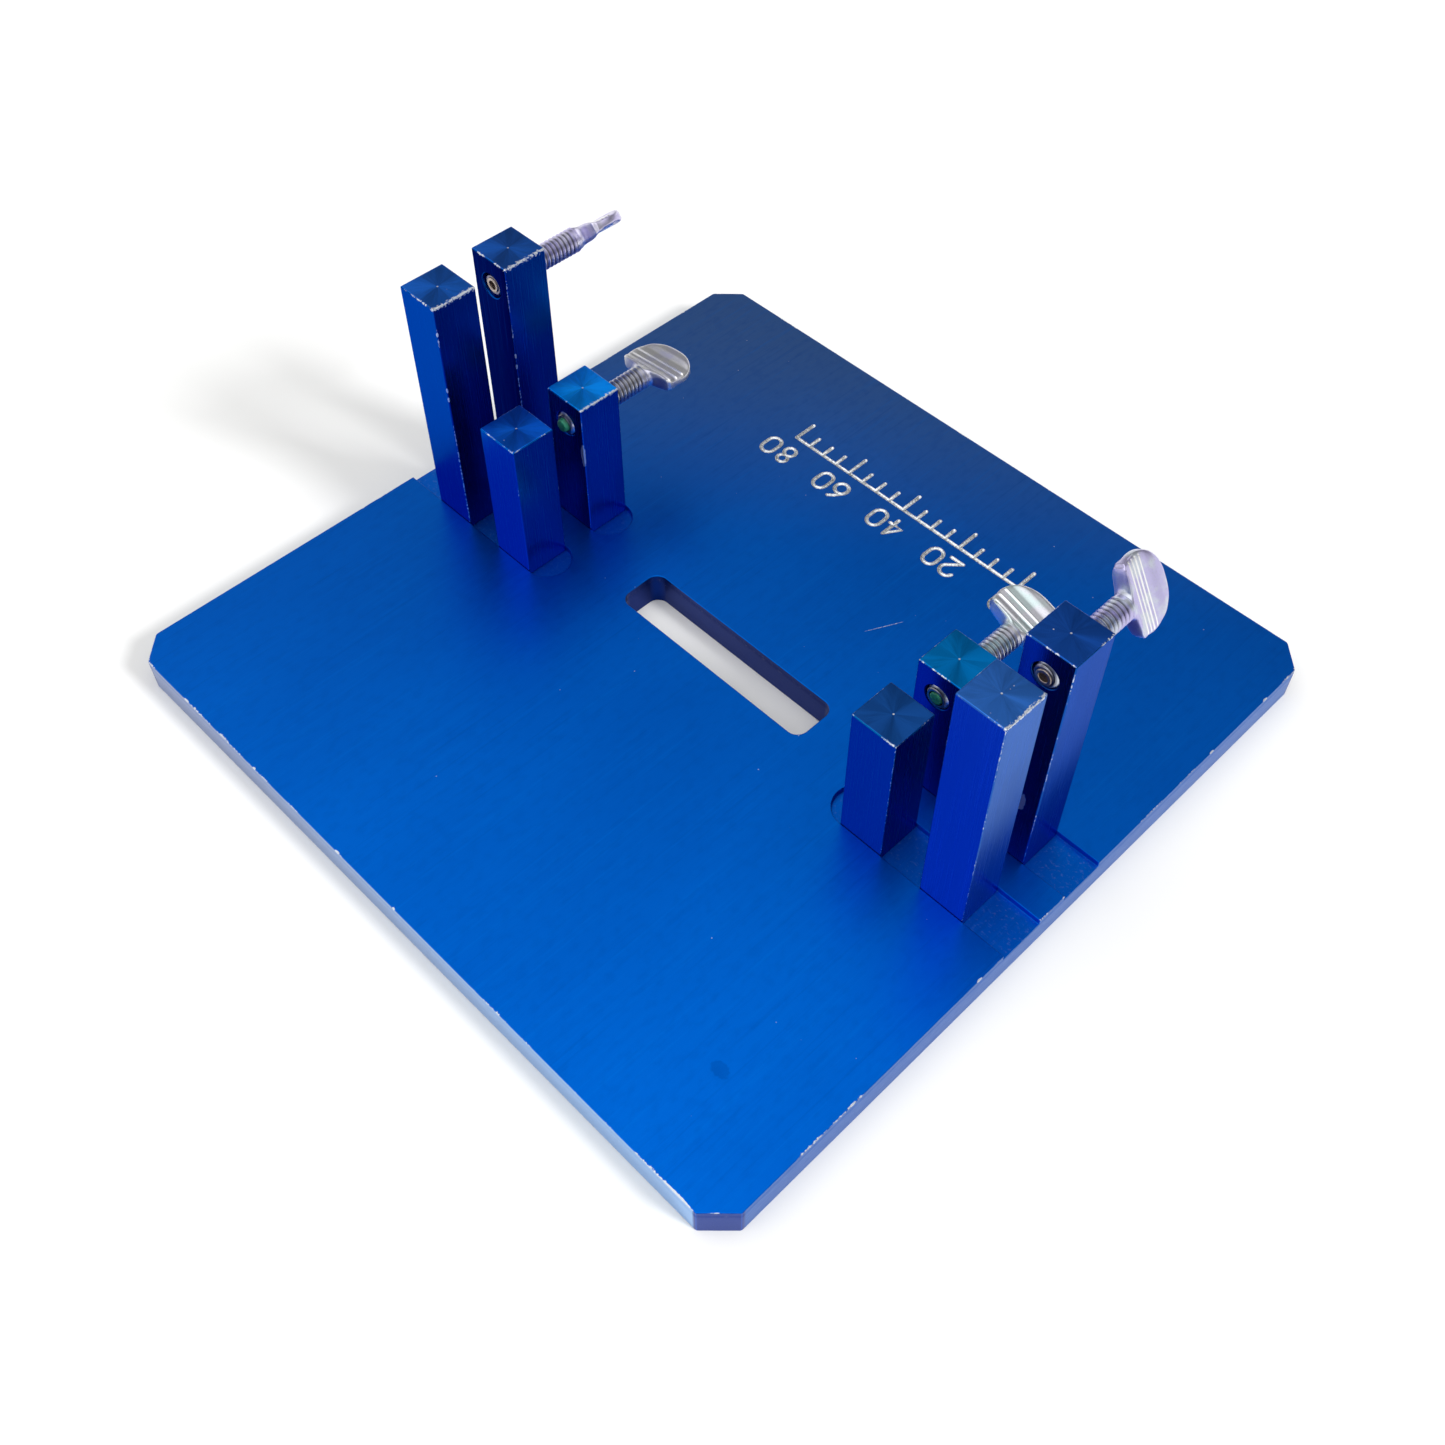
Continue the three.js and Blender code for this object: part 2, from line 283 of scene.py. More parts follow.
class Nodes:
    """Short names for building one material's nodes."""

    def __init__(self, name):
        self.material = bpy.data.materials.new(name)
        self.material.use_nodes = True
        self.tree = self.material.node_tree
        self.surface = self.tree.nodes["Principled BSDF"]
        self.place = self.add("ShaderNodeTexCoord").outputs["Object"]

    def add(self, kind):
        return self.tree.nodes.new(kind)

    def join(self, value, socket):
        """Links a socket, or sets a plain value."""
        if isinstance(value, bpy.types.NodeSocket):
            self.tree.links.new(value, socket)
        elif isinstance(value, (tuple, list)) and len(value) == 3 and socket.type == "RGBA":
            socket.default_value = (*value, 1)
        else:
            socket.default_value = value

    def math(self, operation, a, b=0.0, c=0.0):
        node = self.add("ShaderNodeMath")
        node.operation = operation
        for value, socket in zip((a, b, c), node.inputs):
            self.join(value, socket)
        return node.outputs[0]

    def times(self, a, b):
        return self.math("MULTIPLY", a, b)

    def plus(self, a, b):
        return self.math("ADD", a, b)

    def minus(self, a, b):
        return self.math("SUBTRACT", a, b)

    def absolute(self, value):
        return self.math("ABSOLUTE", value)

    def scaled(self, stretch, offset=(0, 0, 0), turn=0.0):
        """Object coordinates in millimetres, stretched and turned about Z."""
        node = self.add("ShaderNodeMapping")
        node.inputs["Scale"].default_value = [s / MM for s in stretch]
        node.inputs["Location"].default_value = offset
        node.inputs["Rotation"].default_value = (0, 0, math.radians(turn))
        self.tree.links.new(self.place, node.inputs["Vector"])
        return node.outputs["Vector"]

    def noise(self, vector, detail=3.0, roughness=0.55, seed=0.0):
        node = self.add("ShaderNodeTexNoise")
        node.noise_dimensions = "4D"
        self.join(vector, node.inputs["Vector"])
        node.inputs["W"].default_value = seed
        node.inputs["Scale"].default_value = 1
        node.inputs["Detail"].default_value = detail
        node.inputs["Roughness"].default_value = roughness
        return node.outputs["Fac"]

    def grain(self, stretch, **options):
        """Noise over stretched object coordinates."""
        return self.noise(self.scaled(stretch), **options)

    def specks(self, vector, scale, size):
        """One where a point is nearer than size to a scattered cell centre."""
        node = self.add("ShaderNodeTexVoronoi")
        self.join(vector, node.inputs["Vector"])
        node.inputs["Scale"].default_value = scale
        return self.ramp(node.outputs["Distance"], size, size * 0.6)

    def ramp(self, value, start, end):
        """Nought at start, one at end, smooth between."""
        node = self.add("ShaderNodeMapRange")
        node.interpolation_type = "SMOOTHSTEP"
        low, high = (start, end) if start < end else (end, start)
        self.join(value, node.inputs["Value"])
        node.inputs["From Min"].default_value = low
        node.inputs["From Max"].default_value = high
        node.inputs["To Min"].default_value = 0.0 if start < end else 1.0
        node.inputs["To Max"].default_value = 1.0 if start < end else 0.0
        return node.outputs["Result"]

    def between(self, value, low, high):
        """Stretches a value from nought to one into low to high."""
        node = self.add("ShaderNodeMapRange")
        self.join(value, node.inputs["Value"])
        node.inputs["To Min"].default_value = low
        node.inputs["To Max"].default_value = high
        return node.outputs["Result"]

    def mix(self, amount, a, b):
        node = self.add("ShaderNodeMix")
        node.data_type = "RGBA"
        self.join(amount, node.inputs["Factor"])
        self.join(a, node.inputs["A"])
        self.join(b, node.inputs["B"])
        return node.outputs["Result"]

    def largest(self, *values):
        result = values[0]
        for value in values[1:]:
            result = self.math("MAXIMUM", result, value)
        return result

    def worn(self, distance, ragged, amount, patches=1.0):
        """One within about an amount of an edge, with a ragged border, where patches is one."""
        reach = self.between(self.ramp(ragged, 0.35, 0.7), 0, amount)
        reach = self.times(reach, patches)
        return self.ramp(self.minus(distance, reach), 0.1, -0.1)

    def spot(self, point, centre, size, ragged):
        """One inside a ragged ellipsoid of the given half size."""
        total = 0.0
        for value, middle, half in zip(point, centre, size):
            share = self.math("DIVIDE", self.minus(value, middle), half)
            total = self.plus(total, self.times(share, share))
        total = self.plus(total, self.between(ragged, 0.9, -0.9))
        return self.ramp(total, 1.0, 0.7)

    def hairline(self, x, y, start, end, width):
        """One along a straight scratch between two (x, y) points."""
        way = Vector(end) - Vector(start)
        middle = (Vector(end) + Vector(start)) / 2
        unit = way.normalized()
        dx = self.minus(x, middle.x)
        dy = self.minus(y, middle.y)
        along = self.plus(self.times(dx, unit.x), self.times(dy, unit.y))
        across = self.minus(self.times(dx, unit.y), self.times(dy, unit.x))
        inside = self.ramp(self.absolute(along), way.length / 2, way.length / 2 - 1.5)
        return self.times(inside, self.ramp(self.absolute(across), width, width / 2))

    def radius(self, a, b):
        return self.math("SQRT", self.plus(self.times(a, a), self.times(b, b)))

    def polar(self, angle, radius):
        """Coordinates for rays: fast round the centre, slow outward."""
        node = self.add("ShaderNodeCombineXYZ")
        self.join(self.times(self.math("COSINE", angle), 1.5), node.inputs[0])
        self.join(self.times(self.math("SINE", angle), 1.5), node.inputs[1])
        self.join(self.times(radius, 0.05), node.inputs[2])
        return node.outputs[0]

    def axes(self, centre=(0, 0, 0)):
        """Object coordinates in millimetres from the centre, as three values."""
        split = self.add("ShaderNodeSeparateXYZ")
        offset = [-c for c in centre]
        self.tree.links.new(self.scaled((1, 1, 1), offset), split.inputs[0])
        return split.outputs

    def bump(self, height, distance, strength=1.0):
        """Bump from a height of nought to one over a distance in millimetres."""
        node = self.add("ShaderNodeBump")
        node.inputs["Strength"].default_value = strength
        node.inputs["Distance"].default_value = distance * MM
        self.join(height, node.inputs["Height"])
        self.tree.links.new(node.outputs["Normal"], self.surface.inputs["Normal"])

    def finish(self, colour, roughness, metallic=1.0):
        self.join(colour, self.surface.inputs["Base Color"])
        self.join(roughness, self.surface.inputs["Roughness"])
        self.join(metallic, self.surface.inputs["Metallic"])
        return self.material


BARE = (0.72, 0.76, 0.84)  # aluminium under the anodising

SCRATCH = ((20, 30), (25, 40))  # behind the slot's right end
STAIN = (80, -80)  # near the front right corner
# Small chips at random places on the plate's edges, and one long one near a corner.
CHIP_COUNT = 10
CHIP_SEED = 7
CHIP_MARGIN = 10  # kept clear at the ends of an edge
CORNER_CHIP_INSET = 12


def plate_chips():
    """Chips at random places on the front and right edges, and a long one near their corner."""
    picker = random.Random(CHIP_SEED)
    half_x = PLATE.size.x / 2
    half_y = PLATE.size.y / 2
    chips = [((half_x - CORNER_CHIP_INSET, -half_y, DECK), (5, 0.4, 0.4))]
    for index in range(CHIP_COUNT):
        length = picker.uniform(0.5, 1.3)
        if index % 2:
            place = (picker.uniform(CHIP_MARGIN - half_x, half_x - CHIP_MARGIN), -half_y, DECK)
            chips.append((place, (length, 0.45, 0.4)))
        else:
            place = (half_x, picker.uniform(CHIP_MARGIN - half_y, half_y - CHIP_MARGIN), DECK)
            chips.append((place, (0.4, length, 0.4)))
    return chips


def plate_material():
    """Blue anodising over a grain that runs along Y, greyer towards the back as a painted sheen,
    lighter on the milled front side as a painted reflection, darker in the slot and on the corner
    clips as painted shade, chipped.
    """
    n = Nodes("plate_anodised")
    x, y, z = n.axes()
    fine = n.grain((7, 0.14, 1), detail=4, seed=1)
    streak = n.grain((1.6, 0.025, 1), detail=3, seed=2)
    cloud = n.grain((0.02, 0.014, 0.02), detail=2, seed=3)
    mottle = n.grain((0.5, 0.3, 0.5), detail=4, seed=9)
    # Greyer towards the back and left: a painted sheen of reflected light.
    back_sheen = n.ramp(n.plus(y, n.times(x, -0.6)), 40, 150)
    colour = n.mix(n.ramp(cloud, 0.3, 0.7), (0.0, 0.115, 0.6), (0.0, 0.13, 0.66))
    colour = n.mix(back_sheen, colour, (0.055, 0.15, 0.44))
    colour = n.mix(n.times(n.ramp(streak, 0.5, 0.75), 0.3), colour, (0.0, 0.165, 0.72))
    colour = n.mix(n.times(n.ramp(streak, 0.45, 0.25), 0.3), colour, (0.0, 0.08, 0.44))
    colour = n.mix(n.times(n.ramp(fine, 0.58, 0.8), 0.35), colour, (0.01, 0.2, 0.78))
    colour = n.mix(n.times(n.ramp(mottle, 0.45, 0.7), 0.16), colour, (0.0, 0.07, 0.4))

    rim_x = n.minus(PLATE.size.x / 2, n.absolute(x))
    rim_y = n.minus(PLATE.size.y / 2, n.absolute(y))
    rim_clip = n.plus(n.plus(rim_x, rim_y), -PLATE_CLIP)
    rim = n.math("MINIMUM", n.math("MINIMUM", rim_x, rim_y), n.times(rim_clip, 0.7))
    side = n.ramp(rim, 0.12, 0.03)
    brushed = n.grain((0.5, 0.5, 9), detail=3, seed=8)
    # Side faces: the front one is lighter, and lighter towards its right end, as a painted
    # reflection of the floor, and dimmer at its left end as painted shade. The other sides keep a
    # plain blue, and the brushed lines are grain.
    pale = n.mix(n.ramp(x, -90, 90), (0.24, 0.3, 0.5), (0.3, 0.5, 0.8))
    pale = n.mix(n.ramp(y, -104, -100), pale, (0.0, 0.12, 0.5))
    pale = n.mix(n.times(n.ramp(brushed, 0.4, 0.7), 0.3), pale, (0.3, 0.45, 0.75))
    # Clip faces darker: painted shade.
    pale = n.mix(n.ramp(rim_clip, 1.2, 0.4), pale, (0.0, 0.04, 0.3))
    colour = n.mix(side, colour, pale)
    # Slot walls darkened: painted shade in the slot.
    slot_shade = n.ramp(n.absolute(y), SLOT_WIDTH / 2 + 0.45, SLOT_WIDTH / 2 + 0.05)
    slot_shade = n.times(slot_shade, n.ramp(z, DECK - 0.1, DECK - 0.4))
    beside = n.ramp(n.absolute(x), SLOT_LENGTH / 2 + 1.25, SLOT_LENGTH / 2 + 0.75)
    slot_shade = n.times(slot_shade, beside)
    colour = n.mix(slot_shade, colour, (0.0, 0.02, 0.18))

    dots = n.specks(n.scaled((1, 0.75, 1)), 0.25, 0.04)
    kept = n.ramp(n.grain((0.3, 0.3, 0.3), detail=1, seed=4), 0.54, 0.6)
    dots = n.times(dots, n.times(kept, 0.6))
    floor_level = DECK - GROOVE_DEPTH
    groove = n.times(n.ramp(z, floor_level + 0.8, floor_level + 0.3),
                    n.ramp(z, floor_level - 1, floor_level - 0.5))
    scuff = n.ramp(n.grain((0.9, 1.1, 1), detail=5, roughness=0.7, seed=5), 0.5, 0.75)
    scuff = n.times(scuff, n.times(groove, 0.09))
    ragged = n.grain((1.3, 1.3, 1.6), detail=4, roughness=0.7, seed=6)
    patchy = n.grain((0.1, 0.1, 0.1), detail=2, seed=7)
    edge = n.largest(rim, n.minus(DECK, z))
    chips = n.worn(edge, ragged, 0.5, n.ramp(patchy, 0.5, 0.66))
    marks = [n.spot((x, y, z), place, size, ragged) for place, size in plate_chips()]
    scratch = n.times(n.hairline(x, y, *SCRATCH, 0.12), n.ramp(fine, 0.35, 0.6))
    scratch = n.times(scratch, n.ramp(z, DECK - 1, DECK - 0.5))
    bare = n.largest(chips, dots, scuff, scratch, *marks)
    colour = n.mix(bare, colour, BARE)
    stain = n.spot((x, y, z), (*STAIN, DECK), (2.6, 1.8, 1.0), ragged)
    colour = n.mix(n.times(stain, 0.25), colour, (0.0, 0.03, 0.2))
    hairs = n.ramp(n.noise(n.scaled((2.4, 0.02, 1), turn=38), detail=1, seed=10), 0.72, 0.76)
    rough = n.plus(n.between(fine, 0.3, 0.42), n.times(groove, 0.12))
    rough = n.plus(rough, n.times(bare, 0.1))
    height = n.plus(n.times(fine, 0.4), n.times(bare, -0.7))
    height = n.plus(height, n.times(hairs, -0.3))
    n.bump(height, 0.03)
    return n.finish(colour, rough)


# Looks of the posts: colours of sides and top, each partly dye and partly painted reflection and
# shade, and how far wear reaches, in millimetres, in from the top's right and front edges and
# from the near upright edge.
def look(side, top, right, front, corner, nicks=0, patch=None, face=1.0,
         streaks=0.15, glance=(0.35, 0.43, 0.8)):
    """Face is how light the front face is beside the right one, a painted shade, streaks how
    strongly the lighter drawing lines show, partly a painted reflection, glance the colour that a
    flat angle adds, nicks how many nicks the near upright edge has, patch a bare patch on the
    front face: right of the middle, below the top, half length."""
    return {
        "side": side, "top": top, "right": right, "front": front, "corner": corner,
        "nicks": nicks, "patch": patch, "face": face, "streaks": streaks, "glance": glance,
    }


POST_LOOKS = {
    ("left_outer", "front"): look((0.0, 0.065, 0.36), (0.01, 0.14, 0.66), 1.2, 0.5, 0.35, nicks=3),
    ("left_outer", "back"): look((0.0, 0.09, 0.46), (0.01, 0.12, 0.58), 1.1, 0.7, 0.35, nicks=2,
                                 face=0.12),
    ("left_inner", "front"): look((0.0, 0.115, 0.5), (0.005, 0.14, 0.78), 0.3, 0.7, 0.15),
    ("left_inner", "back"): look((0.0, 0.14, 0.6), (0.0, 0.3, 1.0), 0.9, 0.4, 0.25,
                                 patch=(6, 15, 4), face=0.5),
    ("right_inner", "front"): look((0.0, 0.13, 0.38), (0.01, 0.085, 0.36), 0.25, 0.5, 0.12),
    ("right_inner", "back"): look((0.0, 0.07, 0.36), (0.0, 0.2, 0.6), 0.25, 0.4, 0.15),
    ("right_outer", "front"): look((0.02, 0.11, 0.46), (0.035, 0.17, 0.62), 0.9, 0.25, 0.15,
                                   streaks=0.45, glance=(0.68, 0.8, 1.0)),
    ("right_outer", "back"): look((0.01, 0.09, 0.38), (0.01, 0.085, 0.44), 0.5, 0.45, 0.15,
                                  patch=(2, 50, 3), streaks=0.35, glance=(0.5, 0.55, 0.95)),
}
POST_GRAIN = 5  # how far apart the posts' noise seeds are


def post_wear(n, box, x, y, z, looks):
    """How bare a post's surface is at a point: edges, marks and a few specks."""
    seed = box.middle.x + box.middle.y * POST_GRAIN
    ragged = n.grain((1.7, 1.7, 1.2), detail=5, roughness=0.7, seed=seed)
    patchy = n.ramp(n.grain((0.2, 0.2, 0.1), detail=1, seed=seed + 1), 0.42, 0.58)
    near_x = n.minus(POST_SIDE / 2, n.absolute(x))
    near_y = n.minus(POST_SIDE / 2, n.absolute(y))
    below = n.times(z, -1)
    right = n.minus(POST_SIDE / 2, x)
    front = n.plus(POST_SIDE / 2, y)
    low = n.math("MINIMUM", near_x, near_y)
    high = n.largest(near_x, near_y)
    any_edge = n.largest(low, n.math("MINIMUM", high, below))
    strong = 0.8
    values = [
        n.worn(any_edge, ragged, 0.25, patchy),
        n.worn(n.largest(right, below), ragged, looks["right"],
               1.0 if looks["right"] > strong else patchy),
        n.worn(n.largest(front, below), ragged, looks["front"],
               1.0 if looks["front"] > strong else patchy),
        n.worn(n.largest(right, front), ragged, looks["corner"], patchy),
    ]
    half = POST_SIDE / 2
    picker = random.Random(seed)
    for _ in range(looks["nicks"]):
        place = (half, -half, -picker.uniform(4, 30))
        values.append(n.spot((x, y, z), place, (0.4, 0.4, 0.9), ragged))
    if looks["patch"]:
        across, down, length = looks["patch"]
        values.append(n.spot((x, y, z), (across, -half, -down), (1, 0.5, length), ragged))
    dots = n.specks(n.scaled((1, 1, 0.8)), 0.5, 0.09)
    kept = n.ramp(n.grain((0.4, 0.4, 0.2), detail=1, seed=seed + 2), 0.56, 0.62)
    kept = n.times(kept, n.ramp(z, -4, -1))
    values.append(n.times(dots, kept))
    return n.largest(*values)


def post_material(name, place, row, looks):
    """Anodised bar with lengthways drawing lines, lighter along them and most on the outer right
    posts as a painted reflection, its front face darker as painted shade, its edges worn bare.
    """
    box = POSTS[place, row]
    n = Nodes(name)
    x, y, z = n.axes((box.middle.x, box.middle.y, box.high.z))
    colour = looks["side"]
    drawn = n.grain((5, 5, 0.04), detail=4, seed=box.middle.x)
    cloud = n.grain((0.08, 0.08, 0.03), detail=2, seed=box.middle.y)
    tint = n.mix(n.ramp(cloud, 0.35, 0.65), [c * 0.85 for c in colour], colour)
    # Front face darker by the look's face factor: painted shade.
    tint = n.mix(n.ramp(y, 0.1 - POST_SIDE / 2, -POST_SIDE / 2), tint,
                 [c * looks["face"] for c in colour])
    # Lighter violet streaks along the drawing lines: grain, and where the streaks are strong, on
    # the outer right posts, a painted reflection of the floor.
    streaks = n.times(n.ramp(drawn, 0.5, 0.75), looks["streaks"])
    violet = (0.03, colour[1] * 1.3, colour[2] * 1.6)
    tint = n.mix(streaks, tint, violet)
    tint = n.mix(n.times(n.ramp(drawn, 0.45, 0.25), 0.12), tint, [c * 0.6 for c in colour])
    bare = post_wear(n, box, x, y, z, looks)
    rough = n.plus(n.between(drawn, 0.2, 0.32), n.times(bare, 0.15))
    height = n.plus(n.times(drawn, 0.15), n.times(bare, -0.8))
    n.bump(height, 0.02)
    n.surface.inputs["Specular Tint"].default_value = (*looks["glance"], 1)
    return n.finish(n.mix(bare, tint, BARE), rough)


def post_top_material(name, place, row, looks):
    """Faced end of a post: fine rings, lighter and darker rays painted in as a reflection of the
    rings catching the light, specks and worn edges.
    """
    box = POSTS[place, row]
    colour = looks["top"]
    n = Nodes(name)
    x, y, z = n.axes((box.middle.x, box.middle.y, box.high.z))
    radius = n.radius(x, y)
    rings = n.math("SINE", n.times(radius, 2 * math.pi / 0.35))
    angle = n.math("ARCTAN2", y, x)
    rays = n.noise(n.polar(angle, radius), detail=4, roughness=0.7, seed=box.middle.x)
    # Lighter and darker rays round the centre: a painted reflection of the faced rings.
    tint = n.mix(n.ramp(rays, 0.36, 0.64), [c * 0.7 for c in colour], [c * 1.05 for c in colour])
    tint = n.mix(n.times(n.ramp(rings, 0.5, 1.0), 0.1), tint, [c * 1.5 for c in colour])
    bare = n.largest(post_wear(n, box, x, y, z, looks), n.ramp(radius, 0.28, 0.16))
    tangent = n.add("ShaderNodeTangent")
    tangent.direction_type = "RADIAL"
    tangent.axis = "Z"
    n.tree.links.new(tangent.outputs[0], n.surface.inputs["Tangent"])
    n.surface.inputs["Anisotropic"].default_value = 0.7
    height = n.plus(n.times(rings, 0.1), n.times(bare, -0.8))
    n.bump(height, 0.02)
    return n.finish(n.mix(bare, tint, BARE), n.between(rays, 0.28, 0.38))


ZINC_TINTS = {
    "left_outer": ((0.74, 0.72, 0.88), (0.6, 0.56, 0.84)),
    "left_inner": ((0.66, 0.66, 0.68), (0.6, 0.6, 0.72)),
    "right_inner": ((0.66, 0.78, 0.8), (0.76, 0.76, 0.84)),
    "right_outer": ((0.56, 0.52, 0.8), (0.66, 0.7, 0.8)),
}


def zinc_material(place, seed):
    """Bright zinc plate with lilac and green passivation, a cast grain, and dark thread roots."""
    n = Nodes(f"{place}_zinc")
    box = TIP_BOXES[place]
    x, y, z = n.axes((box.middle.x, SCREW_END[place], box.middle.z))
    radius = n.radius(x, z)
    hue = n.grain((0.22, 0.22, 0.22), detail=2, seed=seed)
    one, two = ZINC_TINTS[place]
    tint = n.mix(n.ramp(hue, 0.42, 0.6), one, two)
    grain = n.grain((3.5, 3.5, 3.5), detail=4, roughness=0.65, seed=seed + 1)
    pits = n.times(n.ramp(grain, 0.46, 0.34), 0.45)
    tint = n.mix(pits, tint, (0.4, 0.4, 0.46))
    crest = THREAD_DIAMETER / 2
    # Darker in the thread roots.
    root_darkening = n.ramp(radius, crest - 0.15, crest - 0.6)
    root_darkening = n.times(root_darkening, n.ramp(y, SHANK_LENGTH - 0.2, SHANK_LENGTH - 0.9))
    tint = n.mix(n.times(root_darkening, 0.75), tint, (0.1, 0.1, 0.13))
    n.bump(grain, 0.03, 0.4)
    return n.finish(tint, n.between(grain, 0.3, 0.4))


def rib_material():
    """Rubbed crests of the spades' ribs."""
    n = Nodes("zinc_rubbed_rib")
    grain = n.grain((3, 3, 3), detail=3, seed=44)
    n.bump(grain, 0.02, 0.3)
    return n.finish(n.mix(grain, (0.9, 0.9, 0.94), (1.0, 1.0, 1.0)), n.between(grain, 0.25, 0.35))


def pad_material():
    """Green rubbery plastic, chipped and dirty at its face."""
    n = Nodes("tip_pad_green")
    cloud = n.grain((1.1, 1.1, 1.1), detail=4, roughness=0.65, seed=11)
    tint = n.mix(n.ramp(cloud, 0.35, 0.65), (0.004, 0.09, 0.05), (0.02, 0.24, 0.14))
    pale = n.ramp(n.grain((2.5, 2.5, 2.5), detail=3, seed=12), 0.62, 0.75)
    tint = n.mix(n.times(pale, 0.5), tint, (0.35, 0.5, 0.42))
    n.bump(cloud, 0.15, 0.7)
    return n.finish(tint, n.between(cloud, 0.35, 0.6), metallic=0.0)


def sleeve_material():
    """Warm grey metal sleeve."""
    n = Nodes("tip_sleeve_metal")
    grain = n.grain((4, 4, 4), detail=3, seed=13)
    tint = n.mix(n.ramp(grain, 0.35, 0.7), (0.45, 0.36, 0.3), (0.62, 0.54, 0.48))
    n.bump(grain, 0.04, 0.5)
    return n.finish(tint, n.between(grain, 0.25, 0.42))


def bolt_material():
    """Black oxide with a mottled grain."""
    n = Nodes("post_bolt_black")
    grain = n.grain((3, 3, 3), detail=4, seed=14)
    tint = n.mix(n.ramp(grain, 0.4, 0.7), (0.012, 0.012, 0.014), (0.05, 0.05, 0.055))
    n.bump(grain, 0.05, 0.5)
    return n.finish(tint, n.between(grain, 0.35, 0.55), metallic=0.8)


def engraving_material():
    """Cut through the anodising to bright metal, with a bead-like tool chatter."""
    n = Nodes("plate_engraving")
    chatter = n.grain((1.6, 1.6, 1.6), detail=2, seed=15)
    tint = n.mix(n.ramp(chatter, 0.35, 0.65), (0.55, 0.57, 0.6), (0.92, 0.93, 0.95))
    n.bump(chatter, 0.15, 0.8)
    return n.finish(tint, n.between(chatter, 0.18, 0.4))


# ---- plate

def plate_outline():
    """The plate's outline with the ends of its corner clips rounded."""
    x = PLATE.size.x / 2
    y = PLATE.size.y / 2
    turns = []
    for i, (sx, sy) in enumerate(((1, 1), (-1, 1), (-1, -1), (1, -1))):
        one = Vector((sx * x, sy * (y - PLATE_CLIP)))
        two = Vector((sx * (x - PLATE_CLIP), sy * y))
        turns += [one, two] if i % 2 == 0 else [two, one]
    points = []
    count = len(turns)
    for i, corner in enumerate(turns):
        before = (turns[i - 1] - corner).normalized()
        after = (turns[(i + 1) % count] - corner).normalized()
        bend = math.pi - before.angle(after)
        leg = CLIP_ROUNDING * math.tan(bend / 2)
        middle = corner + (before + after).normalized() * (CLIP_ROUNDING / math.cos(bend / 2))
        start = corner + before * leg - middle
        for k in range(5):
            turn = Matrix.Rotation(bend * k / 4, 2)
            points.append(tuple(middle + turn @ start))
    return points


def rounded_slot():
    """Outline of the central slot."""
    half_length = SLOT_LENGTH / 2
    half_width = SLOT_WIDTH / 2
    radius = SLOT_CORNER
    points = []
    for i, (sx, sy) in enumerate(((1, 1), (-1, 1), (-1, -1), (1, -1))):
        centre = (sx * (half_length - radius), sy * (half_width - radius))
        points += arc(centre, radius, 90 * i, 90 * i + 90, 10)
    return points


def groove(name, side, y):
    """Cutter for one groove: open at the plate's end, round at the inner end."""
    inner = POSTS["right_inner", "front"].low.x
    half = POST_SIDE / 2
    past = PLATE.size.x / 2 + 5
    outline = [(past * side, y - half * side), (past * side, y + half * side)]
    start = 90 if side > 0 else -90
    outline += arc((inner * side, y), half, start, start + 180, 32)
    return prism(name, outline, DECK - GROOVE_DEPTH, DECK + 5)


def bolt_hole(name, box):
    """Cutter for a countersunk clearance hole under a post."""
    wide = box.size.x / 2 + BOLT_CLEARANCE
    narrow = BOLT_SHANK / 2 + BOLT_CLEARANCE
    recess = box.low.z
    slope = math.tan(math.radians(COUNTERSINK_ANGLE / 2))
    throat = recess + (wide - narrow) / slope
    profile = [(wide, -1), (wide, recess), (narrow, throat), (narrow, DECK + 1)]
    return turned(name, profile, upright(box.middle.x, box.middle.y, 0), 48)


def base_plate(body, engraved):
    plate = prism("base_plate_finish", plate_outline(), PLATE.low.z, DECK, body, engraved)
    cutters = [prism("slot_cutter", rounded_slot(), -5, DECK + 5)]
    for row in ROWS:
        y = POSTS["left_outer", row].middle.y
        for side in (-1, 1):
            cutters.append(groove(f"groove_{row}_{side}", side, y))
    cut(plate, *cutters)
    bevelled(plate, PLATE_EDGE, 3)
    holes = [bolt_hole(f"hole_{place}_{row}", BOLTS[place, row]) for place, row in BOLTS]
    cut(plate, *holes)
    bpy.context.view_layer.update()
    for cutter in scale_cutters():
        cutter.data.materials.append(engraved)
        cut(plate, cutter)
    flatter(plate)
    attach(plate, "root")
    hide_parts("base_plate")
    return plate


# ---- posts and bolts

def post(place, row):
    box = POSTS[place, row]
    looks = POST_LOOKS[place, row]
    name = f"{place}_{row}_post"
    side = post_material(f"{name}_anodised", place, row, looks)
    top = post_top_material(f"{name}_faced_top", place, row, looks)
    x, y = box.middle.x, box.middle.y
    half = POST_SIDE / 2
    foot = DECK - GROOVE_DEPTH + 0.02
    corners = ((1, 1), (-1, 1), (-1, -1), (1, -1))
    outline = [(x + half * sx, y + half * sy) for sx, sy in corners]
    bar = prism(f"{name}_finish", outline, foot, box.high.z, side, top)
    bevelled(bar, POST_EDGE, 3)
    if row == "back":
        screw = TIP_BOXES[place].middle
        reach = half + 1
        radius = THREAD_DIAMETER / 2 + HOLE_CLEARANCE
        mouth = radius + HOLE_CHAMFER
        profile = [
            (mouth + 1, -reach),
            (mouth + 1, -half - 0.001),
            (mouth, -half),
            (radius, -half + HOLE_CHAMFER),
            (radius, half - HOLE_CHAMFER),
            (mouth, half),
            (mouth + 1, half + 0.001),
            (mouth + 1, reach),
        ]
        cut(bar, turned("cross_hole", profile, backward(screw.x, y, screw.z), 64))
    flatter(bar)
    for face in bar.data.polygons:
        if face.normal.z > 0.9 and face.center.z > (box.high.z - 0.1) * MM:
            face.material_index = 1
    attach(bar, "root")
    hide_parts(name)
    return bar


